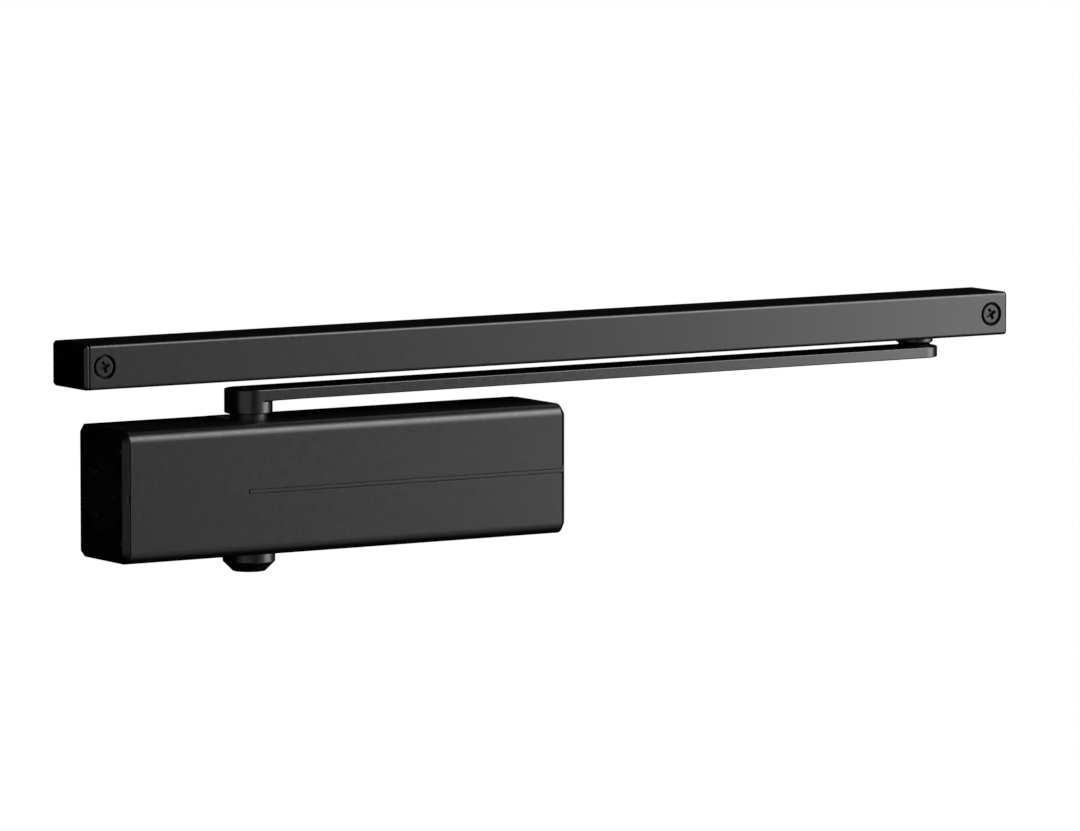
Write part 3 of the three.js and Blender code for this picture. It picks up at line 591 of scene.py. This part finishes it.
def end_plug(side):
    low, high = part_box("end_plug_left")
    flange = radius_of("end_plug_left", "x")
    seal_low, seal_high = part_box("plug_seal_left")
    body = radius_of("plug_seal_left", "x")
    groove = body - SEAL_DEPTH
    seat = cap_high[0]
    profile = [
        (flange - PLUG_CHAMFER, low[0]), (flange, low[0] + PLUG_CHAMFER),
        (flange, seat), (body, seat),
        (body, seal_low[0] - SLIP), (groove, seal_low[0] - SLIP),
        (groove, seal_high[0] + SLIP), (body, seal_high[0] + SLIP),
        (body, high[0] - END_BREAK), (body - END_BREAK, high[0]),
    ]
    start, floor = low[0] - BEYOND, low[0] + PIN_HOLE_DEPTH
    cuts = []
    for i in range(PIN_HOLES):
        angle = math.pi + 2 * math.pi * i / PIN_HOLES
        y = bore.y + PIN_CIRCLE_RADIUS * math.cos(angle)
        z = PIN_CIRCLE_RADIUS * math.sin(angle)
        hole = rod("x", (0, y, z), PIN_HOLE_RADIUS, start, floor, SMALL_ROUND)
        cuts.append(on_side(hole, side))
    if side == "right":
        screw_low, screw_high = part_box("spring_adjuster_screw")
        end = screw_high[0] + ADJUSTER_RUN_OUT
        cuts.append(rod("x", bore, ADJUSTER_BORE, screw_low[0], end, SMALL_ROUND))
    return piece(f"end_plug_{side}_turned", on_side(turned("x", bore, profile), side),
                 steel_black, "closer_body", f"end_plug_{side}", cuts=cuts)


# ---- Arm and spindle cap ----
def spindle_cap():
    low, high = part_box("spindle_cap")
    radius = radius_of("spindle_cap", "z")
    straight = high[2] - CAP_STRAIGHT
    nub_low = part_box("cam_spindle")[0][2]
    profile = [(radius - CAP_CHAMFER, low[2]), (radius, straight), (radius, high[2])]
    socket = rod("z", spindle, NUB_HOLE_RADIUS, nub_low - SLIP, high[2] + BEYOND)
    return piece("spindle_cap_turned", turned("z", spindle, profile), plastic_black,
                 "spindle_and_arm", "spindle_cap", cuts=[socket], edge=SPINDLE_CAP_EDGE)


def turn_to_arm(bm):
    """Takes a skin made along +X from the origin to the arm's own line."""
    turn = math.atan2(pivot.y - spindle.y, pivot.x - spindle.x)
    matrix = Matrix.Translation((spindle.x, spindle.y, 0)) @ Matrix.Rotation(turn, 4, "Z")
    bmesh.ops.transform(bm, matrix=matrix, verts=bm.verts)
    return bm


def slide_arm():
    """The hub's wall and the plate share one skin; the plate's underside meets the hub's arc."""
    low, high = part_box("slide_arm")
    hub = spindle.x - low[0]
    tip = high[0] - pivot.x
    tangent = math.degrees(math.acos((hub - tip) / arm_length))
    under = high[2] - ARM_THICKNESS
    outer_arc = arc((0, 0), hub, tangent, 360 - tangent, 3 * ARC)
    inner_arc = arc((0, 0), hub, -tangent, tangent, 2 * ARC)[1:-1]
    tip_arc = arc((arm_length, 0), tip, -tangent, tangent, 2 * ARC)
    bm = bmesh.new()

    def ring(points, level):
        return [bm.verts.new((x, y, level)) for x, y in points]

    foot = ring(outer_arc + inner_arc, low[2])
    shoulder = ring(outer_arc + inner_arc, under)
    top_outer = ring(outer_arc, high[2])
    top_tip = ring(tip_arc, high[2])
    under_tip = ring(tip_arc, under)
    last = len(outer_arc) - 1
    bm.faces.new(foot)
    wall(bm, foot, shoulder)
    wall(bm, shoulder[:last + 1], top_outer, closed=False)
    wall(bm, under_tip, top_tip, closed=False)
    bm.faces.new((shoulder[last], under_tip[0], top_tip[0], top_outer[last]))
    bm.faces.new((under_tip[-1], shoulder[0], top_outer[0], top_tip[-1]))
    bm.faces.new(top_outer + top_tip)
    bm.faces.new(shoulder[last:] + [shoulder[0]] + under_tip[::-1])
    bmesh.ops.recalc_face_normals(bm, faces=bm.faces)
    side = SQUARE_HOLE_HALF
    square_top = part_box("cam_spindle")[1][2] + SLIP
    top = high[2] + BEYOND
    hub_axis, tip_axis = (0, 0, 0), (arm_length, 0, 0)
    cuts = [
        rod("z", hub_axis, SCREW_WELL_RADIUS, high[2] - SCREW_WELL_DEPTH, top),
        block((-side, -side, low[2] - BEYOND), (side, side, square_top)),
        rod("z", hub_axis, SHANK_HOLE_RADIUS, low[2], high[2], SMALL_ROUND),
        rod("z", tip_axis, SHANK_HOLE_RADIUS, under - BEYOND, top, SMALL_ROUND),
    ]
    cuts = [turn_to_arm(cut) for cut in cuts]
    return piece("slide_arm_forged", turn_to_arm(bm), arm_black, "spindle_and_arm", "slide_arm",
                 cuts=cuts, edge=ARM_EDGE)


def arm_screw():
    low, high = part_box("arm_screw")
    seat = high[2] - ARM_SCREW_HEAD
    shank = SHANK_RADIUS
    head = radius_of("arm_screw", "z")
    profile = [
        (shank * ARM_SCREW_TIP_SHARE, low[2]), (shank, low[2] + ARM_SCREW_TIP), (shank, seat),
        (head, seat), (head, high[2] - END_BREAK), (head - END_BREAK, high[2]),
    ]
    socket = rod("z", spindle, ARM_SOCKET_RADIUS, seat + SLIP, high[2] + BEYOND, HEXAGON)
    return piece("arm_screw_turned", turned("z", spindle, profile), steel_black,
                 "spindle_and_arm", "arm_screw", cuts=[socket], edge=FINE_EDGE)


def slider_pin():
    low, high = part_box("slider_pin")
    journal = SHANK_RADIUS
    collar_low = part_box("slide_arm")[1][2] + SLIP
    collar_high = collar_low + COLLAR_HEIGHT
    profile = [
        (journal - PIN_CHAMFER, low[2]), (journal, low[2] + PIN_CHAMFER), (journal, collar_low),
        (stem_radius, collar_low), (stem_radius - STEM_WAIST, collar_high),
        (journal, collar_high), (journal, high[2] - END_BREAK), (journal - END_BREAK, high[2]),
    ]
    return piece("slider_pin_turned", turned("z", pivot, profile), steel_black,
                 "spindle_and_arm", "slider_pin", edge=PIN_EDGE)


# ---- Spindle with its heart cam ----
def cam_outline():
    """The edge that a roller leaves when its centre moves out in proportion to the turn."""
    first = SPINDLE_RADIUS + ROLLER_RADIUS
    second = -centre_of("damping_roller").x
    reach = ROLLER_RADIUS + ROLLER_GAP
    outline = []
    for i in range(CAM_STEPS):
        ray = 2 * math.pi * i / CAM_STEPS
        nearest = math.inf
        for j in range(-CAM_STEPS, CAM_STEPS + 1):
            angle = math.pi * j / CAM_STEPS
            out = first + (second - first) * abs(angle) / math.pi
            along = out * math.cos(angle - ray)
            aside = out * math.sin(angle - ray)
            if along > 0 and abs(aside) < reach:
                nearest = min(nearest, along - math.sqrt(reach ** 2 - aside ** 2))
        outline.append((nearest * math.cos(ray) + spindle.x, nearest * math.sin(ray) + spindle.y))
    return outline


def cam_spindle():
    low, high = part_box("cam_spindle")
    neck_low = cover_high[2] - COVER_WALL
    neck_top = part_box("slide_arm")[0][2] - SLIP
    nub_top = cover_low[2] + COVER_WALL + GAP
    profile = [
        (NUB_TIP_RADIUS, low[2]), (NUB_RADIUS, low[2] + NUB_CHAMFER), (NUB_RADIUS, nub_top),
        (SPINDLE_RADIUS, nub_top), (SPINDLE_RADIUS, neck_low),
        (NECK_RADIUS, neck_low), (NECK_RADIUS, neck_top),
    ]
    cam = prism("z", cam_outline(), -CAM_HALF, CAM_HALF)
    side = SQUARE_HALF
    square = block((-side, spindle.y - side, neck_top - BEYOND), (side, spindle.y + side, high[2]))
    screw_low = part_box("arm_screw")[0][2]
    tapped = rod("z", spindle, SHANK_HOLE_RADIUS, screw_low - GAP, high[2] + BEYOND, SMALL_ROUND)
    return piece("cam_spindle_ground", turned("z", spindle, profile), steel_black,
                 "spindle_and_arm", "cam_spindle", joins=[cam, square], cuts=[tapped],
                 edge=FINE_EDGE)


# ---- Guide rail and slide block ----
def guide_rail():
    low, high = (rail_low[1], rail_low[2]), (rail_high[1], rail_high[2])
    half = stem_radius + STEM_GAP
    inner_low, inner_high = low[1] + RAIL_WALL, high[1] - RAIL_WALL
    edge = RAIL_RADIUS
    back = high[0] - RAIL_WALL
    outline = (
        [(pivot.y - half, low[1]), (pivot.y - half, inner_low),
         (channel_front, inner_low), (channel_front, inner_high),
         (back, inner_high), (back, inner_low),
         (pivot.y + half, inner_low), (pivot.y + half, low[1])]
        + arc((high[0] - edge, low[1] + edge), edge, 270, 360, SMALL_ARC)
        + arc((high[0] - edge, high[1] - edge), edge, 0, 90, SMALL_ARC)
        + arc((low[0] + edge, high[1] - edge), edge, 90, 180, SMALL_ARC)
        + arc((low[0] + edge, low[1] + edge), edge, 180, 270, SMALL_ARC)
    )
    cuts = []
    for side in ("left", "right"):
        centre = centre_of(f"rail_screw_{side}")
        out, behind = low[0] - BEYOND, high[0] + BEYOND
        cuts.append(rod("y", centre, RAIL_RECESS_RADIUS, out, channel_front + BEYOND))
        cuts.append(rod("y", centre, RAIL_HOLE_RADIUS, back - BEYOND, behind, SMALL_ROUND))
    return piece("guide_rail_extrusion", prism("x", outline, rail_low[0], rail_high[0]),
                 coat_black, "rail", "guide_rail", cuts=cuts, edge=RAIL_EDGE)


def rail_cap_insert(start, end):
    """The part of a rail cap that goes into the rail's channel."""
    low = (channel_front + GAP, rail_low[2] + RAIL_WALL + GAP)
    high = (rail_high[1] - RAIL_WALL - GAP, rail_high[2] - RAIL_WALL - GAP)
    return prism("x", rounded(low, high, [INSERT_RADIUS] * 4, TINY_ARC), start, end)


def rail_cap_plate(node, outer, inner, soft):
    """A plate over the rail's end whose outer edge is broken by soft."""
    box_low, box_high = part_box(node)
    low, high = (box_low[1], box_low[2]), (box_high[1], box_high[2])
    full = rounded(low, high, [RAIL_RADIUS] * 4, SMALL_ARC)
    small = rounded(*inset(low, high, soft), [RAIL_RADIUS - soft] * 4, SMALL_ARC)
    shoulder = outer + math.copysign(soft, inner - outer)
    rings = [(small, outer), (full, shoulder), (full, inner)]
    return loft([[place("x", pair, along) for pair in outline] for outline, along in rings])


def rail_cap_left():
    node = "rail_end_cap_left"
    low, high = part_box(node)
    inner = low[0] + LEFT_FLANGE
    plate = rail_cap_plate(node, low[0], inner, LEFT_FLANGE_BREAK)
    insert = rail_cap_insert(inner - BEYOND, high[0])
    centre = centre_of("rail_screw_left")
    hole = rod("y", centre, INSERT_HOLE_RADIUS, low[1], high[1], SMALL_ROUND)
    return piece("rail_cap_left_moulded", plate, plastic_black, "rail", node, joins=[insert],
                 cuts=[hole])


def rail_cap_right():
    node = "rail_end_cap_right"
    low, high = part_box(node)
    inner = high[0] - RIGHT_FLANGE
    plate = rail_cap_plate(node, high[0], inner, RIGHT_FLANGE_BREAK)
    insert = rail_cap_insert(low[0], inner + RIGHT_FLANGE / 2)
    centre = centre_of("rail_screw_right")
    hole = rod("y", centre, INSERT_HOLE_RADIUS, low[1] + BEYOND, high[1], SMALL_ROUND)
    return piece("rail_cap_right_moulded", plate, plastic_black, "rail", node, joins=[insert],
                 cuts=[hole], edge=0)


def cross_recess(centre, head, turn):
    """A four-armed driver recess that narrows with its depth."""
    rings = []
    for level, reach, half in (
        (head - BEYOND, RECESS_MOUTH_REACH, RECESS_MOUTH_HALF),
        (head + RECESS_DEPTH, RECESS_FLOOR_REACH, RECESS_FLOOR_HALF),
    ):
        narrow = half * RECESS_TAPER
        ring = []
        for quarter in range(4):
            angle = turn + quarter * math.pi / 2
            for along, aside in ((half, -half), (reach, -narrow), (reach, narrow)):
                x = along * math.cos(angle) - aside * math.sin(angle)
                z = along * math.sin(angle) + aside * math.cos(angle)
                ring.append((centre.x + x, level, centre.z + z))
        rings.append(ring)
    return loft(rings)


def rail_screw(side):
    node = f"rail_screw_{side}"
    low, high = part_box(node)
    centre = centre_of(node)
    radius = radius_of(node, "y")
    seat = low[1] + RAIL_SCREW_HEAD
    shank = RAIL_SCREW_SHANK
    edge = RAIL_SCREW_ROUND
    profile = [
        (radius - edge, low[1]),
        (radius - edge * RAIL_ROUND_IN_SHARE, low[1] + edge * RAIL_ROUND_DOWN_SHARE),
        (radius, low[1] + edge), (radius, seat), (shank, seat),
        (shank, high[1] - RAIL_SCREW_TIP), (shank - RAIL_SCREW_TIP, high[1]),
    ]
    recess = cross_recess(centre, low[1], RAIL_SCREW_TURNS[side])
    return piece(node + "_turned", turned("y", centre, profile, SMALL_ROUND), steel_black,
                 "rail", node, cuts=[recess], edge=FINE_EDGE)


def slide_block():
    low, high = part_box("slide_block")
    bottom = rail_low[2] + RAIL_WALL + GAP
    outline = rounded((low[0], low[1]), (high[0], high[1]), [BLOCK_RADIUS] * 4, SMALL_ARC)
    plate = prism("z", outline, bottom, high[2])
    boss = turned("z", pivot, [(stem_radius - STEM_WAIST, low[2]),
                               (stem_radius, low[2] + STEM_FLARE),
                               (stem_radius, bottom + BEYOND)])
    pin_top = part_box("slider_pin")[1][2]
    socket = rod("z", pivot, SHANK_HOLE_RADIUS, low[2] - BEYOND, pin_top + GAP, SMALL_ROUND)
    return piece("slide_block_moulded", plate, plastic_black, "slide_block", "slide_block",
                 joins=[boss], cuts=[socket], edge=BLOCK_EDGE)


# ---- Round inner parts: node, body, axis and radius of the hole ----
INNER_PARTS = (
    ("upper_bearing_nut", "closer_body", "z", NUT_BORE),
    ("upper_bearing", "closer_body", "z", BUSH_BORE),
    ("lower_bearing", "closer_body", "z", BUSH_BORE),
    ("upper_spindle_seal", "closer_body", "z", BUSH_BORE),
    ("lower_spindle_seal", "closer_body", "z", BUSH_BORE),
    ("upper_gland_ring", "closer_body", "z", SPINDLE_RADIUS + GAP),
    ("lower_gland_ring", "closer_body", "z", SPINDLE_RADIUS + GAP),
    ("plug_seal_left", "closer_body", "x", SEAL_BORE),
    ("plug_seal_right", "closer_body", "x", SEAL_BORE),
    ("spring_plate", "spring_plate", "x", ADJUSTER_BORE),
    ("closing_roller", "closing_roller", "z", ROLLER_BORE),
    ("damping_roller", "damping_roller", "z", ROLLER_BORE),
    ("closing_roller_pin", "closing_piston", "z", 0.0),
    ("damping_roller_pin", "damping_piston", "z", 0.0),
    ("piston_check_valve", "closing_piston", "x", CHECK_VALVE_BORE),
)


def turned_inner(node, body, axis, inner):
    """A ring or bar with broken edges, sized by the CAD node it stands for."""
    low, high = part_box(node)
    along = ACROSS[axis][2]
    start, end = low[along], high[along]
    radius = radius_of(node, axis)
    profile = [
        (radius - EDGE, start), (radius, start + EDGE), (radius, end - EDGE), (radius - EDGE, end),
    ]
    if inner:
        profile += [
            (inner + EDGE, end), (inner, end - EDGE), (inner, start + EDGE), (inner + EDGE, start),
        ]
    bm = turned(axis, centre_of(node), profile, INNER_ROUND, wrap=bool(inner))
    return piece(node + "_turned", bm, material_of(node), body, node, edge=0)


# ---- Springs ----
def spring(node, wire, turns, body=None):
    """A coil that reaches from one end of its CAD node to the other."""
    low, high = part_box(node)
    radius = radius_of(node, "x") - wire
    start, end = low[0] + wire, high[0] - wire
    steps = turns * COIL_STEPS
    pitch = (end - start) / (2 * math.pi * turns)
    rings = []
    for i in range(steps + 1):
        angle = 2 * math.pi * turns * i / steps
        outward = Vector((0, math.cos(angle), math.sin(angle)))
        centre = Vector((start + pitch * angle, bore.y, 0)) + radius * outward
        heading = Vector((pitch, -radius * math.sin(angle), radius * math.cos(angle)))
        aside = heading.normalized().cross(outward)
        rings.append([centre + a * outward + b * aside for a, b in circle(wire, WIRE_SIDES)])
    return piece(node + "_coil", loft(rings), spring_steel, body, node, edge=0)


# ---- Build ----
front_cover()
for side in ("left", "right"):
    end_cap(side)
    end_plug(side)
    for level in ("upper", "lower"):
        end_cap_screw(side, level)
spindle_cap()
slide_arm()
arm_screw()
slider_pin()
cam_spindle()
guide_rail()
rail_cap_left()
rail_cap_right()
for side in ("left", "right"):
    rail_screw(side)
slide_block()
for node, body, axis, inner in INNER_PARTS:
    turned_inner(node, body, axis, inner)

closing_coil = spring("closing_spring", CLOSING_WIRE, CLOSING_TURNS, "closer_body")
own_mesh(closing_coil)

damping_coil = spring("damping_spring", DAMPING_WIRE, DAMPING_TURNS)
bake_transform(damping_coil)

# The CAD nodes that nothing replaced stay in view, with their slot's material and fine edges.
for node, obj in frame["nodes"].items():
    obj.data.materials.clear()
    obj.data.materials.append(material_of(node))
    break_edges(obj, FINE_EDGE, NODE_EDGE_SEGMENTS, NODE_EDGE_ANGLE, clamp=True)


# ---- Stage, lights and camera ----
FLOOR_HALF = 40
FLOOR_HEIGHT = -1.2
LIGHTS_AIM = (0.16, -0.02, 0.02)
SOFT_BOXES = (  # Name, azimuth from +X towards +Y, elevation, distance, width, height, radiance
    ("front_wide", -60, -18, 2.0, 1.6, 3.0, 0.5),
    ("front_dim", -94, -10, 2.2, 0.9, 2.2, 0.14),
    ("right_box", -32, 0, 1.45, 0.92, 1.2, 5.6),
    ("top_front", -51, 33, 2.4, 1.4, 1.2, 5.8),
    ("top_back", -38, 44, 2.4, 1.5, 0.8, 5.8),
    ("left_wide", -137, 0, 2.0, 2.1, 1.6, 0.7),
    ("right_edge", 32, -14, 2.0, 0.7, 0.5, 0.2),
)


def stage_floor():
    bm = bmesh.new()
    corners = [(-1, -1), (1, -1), (1, 1), (-1, 1)]
    bm.faces.new([bm.verts.new((x * FLOOR_HALF, y * FLOOR_HALF, FLOOR_HEIGHT)) for x, y in corners])
    floor = to_object("floor", bm)
    material = finish("pale_floor", grey(0.8), grey(0.84), 0.6, 0.05, grain=4, bump=0.02)
    shader = material.node_tree.nodes["Principled BSDF"]
    shader.inputs["Emission Color"].default_value = (1, 1, 1, 1)
    shader.inputs["Emission Strength"].default_value = 1.0
    floor.data.materials.append(material)
    floor.visible_glossy = False
    floor.visible_diffuse = False
    floor.visible_shadow = False


def soft_box(name, azimuth, elevation, distance, width, height, radiance):
    """A soft box that looks at the closer from a given side."""
    data = bpy.data.lights.new(name, "AREA")
    data.shape = "RECTANGLE"
    data.size, data.size_y = width, height
    data.energy = radiance * math.pi * width * height
    light = bpy.data.objects.new(name, data)
    bpy.context.scene.collection.objects.link(light)
    turn, tilt = math.radians(azimuth), math.radians(elevation)
    flat = math.cos(tilt)
    away = Vector((math.cos(turn) * flat, math.sin(turn) * flat, math.sin(tilt)))
    light.location = Vector(LIGHTS_AIM) + away * distance
    light.rotation_mode = "QUATERNION"
    light.rotation_quaternion = away.to_track_quat("Z", "Y")
    light.visible_camera = False


def studio_world():
    """A white world that the camera sees and that lights nothing."""
    world = bpy.data.worlds.new("studio")
    world.use_nodes = True
    background = world.node_tree.nodes["Background"]
    background.inputs["Color"].default_value = (1, 1, 1, 1)
    background.inputs["Strength"].default_value = 1.0
    world.cycles_visibility.glossy = False
    world.cycles_visibility.diffuse = False
    bpy.context.scene.world = world


def camera():
    data = bpy.data.cameras.new("camera")
    data.lens = CAMERA_LENS
    data.sensor_width = CAMERA_SENSOR
    obj = bpy.data.objects.new("camera", data)
    bpy.context.scene.collection.objects.link(obj)
    obj.location = CAMERA_PLACE
    flat = math.cos(CAMERA_DROP)
    ahead = (math.sin(CAMERA_AZIMUTH) * flat, math.cos(CAMERA_AZIMUTH) * flat, -math.sin(CAMERA_DROP))
    obj.rotation_mode = "QUATERNION"
    obj.rotation_quaternion = Vector(ahead).to_track_quat("-Z", "Y")
    bpy.context.scene.camera = obj


stage_floor()
for box in SOFT_BOXES:
    soft_box(*box)
studio_world()
camera()
bpy.context.scene.view_settings.view_transform = "Standard"
